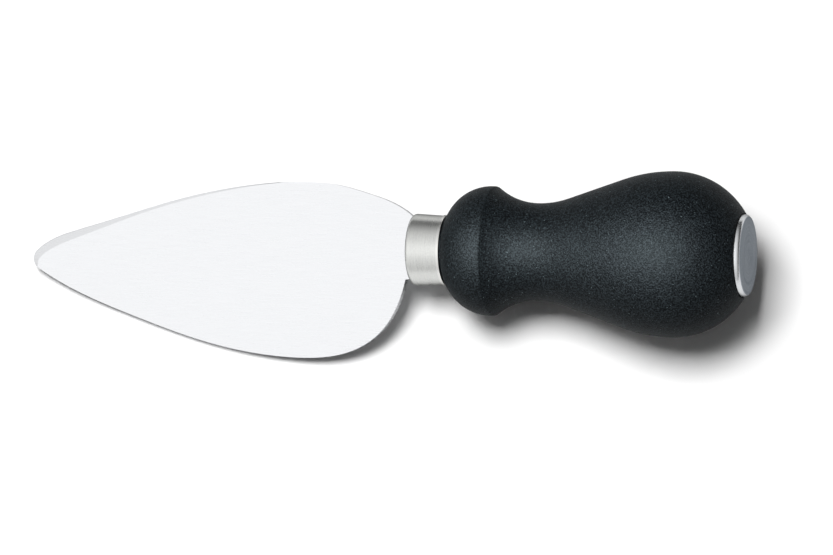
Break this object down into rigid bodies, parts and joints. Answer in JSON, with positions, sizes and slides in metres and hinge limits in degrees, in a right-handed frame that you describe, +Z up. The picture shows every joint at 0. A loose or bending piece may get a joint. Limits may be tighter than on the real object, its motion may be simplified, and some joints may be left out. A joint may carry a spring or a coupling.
{
  "type": "parmesan knife",
  "caption": "Hard-cheese knife with a short spade-shaped steel blade, steel ferrule, black palm handle with a waist and bulb, and a flat steel butt cap.",
  "frame": {"origin": "centre of the bounding box's footprint, on the surface the knife lies on", "axes": "+X runs from the tip towards the butt along the knife, +Y across it towards the bevelled edge, +Z up; the knife's own axis lies in the XZ plane's direction and rises 5.5 degrees towards the butt, and the blade is rolled 19.4 degrees about that axis with its lower edge on the table"},
  "size_m": [0.2224, 0.056, 0.049],
  "materials": {
    "blade_steel": "fine satin, nearly polished",
    "ferrule_steel": "satin, brushed round the axis",
    "handle_plastic": "matte with a fine moulded grain",
    "cap_steel": "satin"
  },
  "bodies": {
    "root": {"blade": "blade_steel", "ferrule": "ferrule_steel", "handle": "handle_plastic", "butt_cap": "cap_steel"}
  },
  "joints": []
}
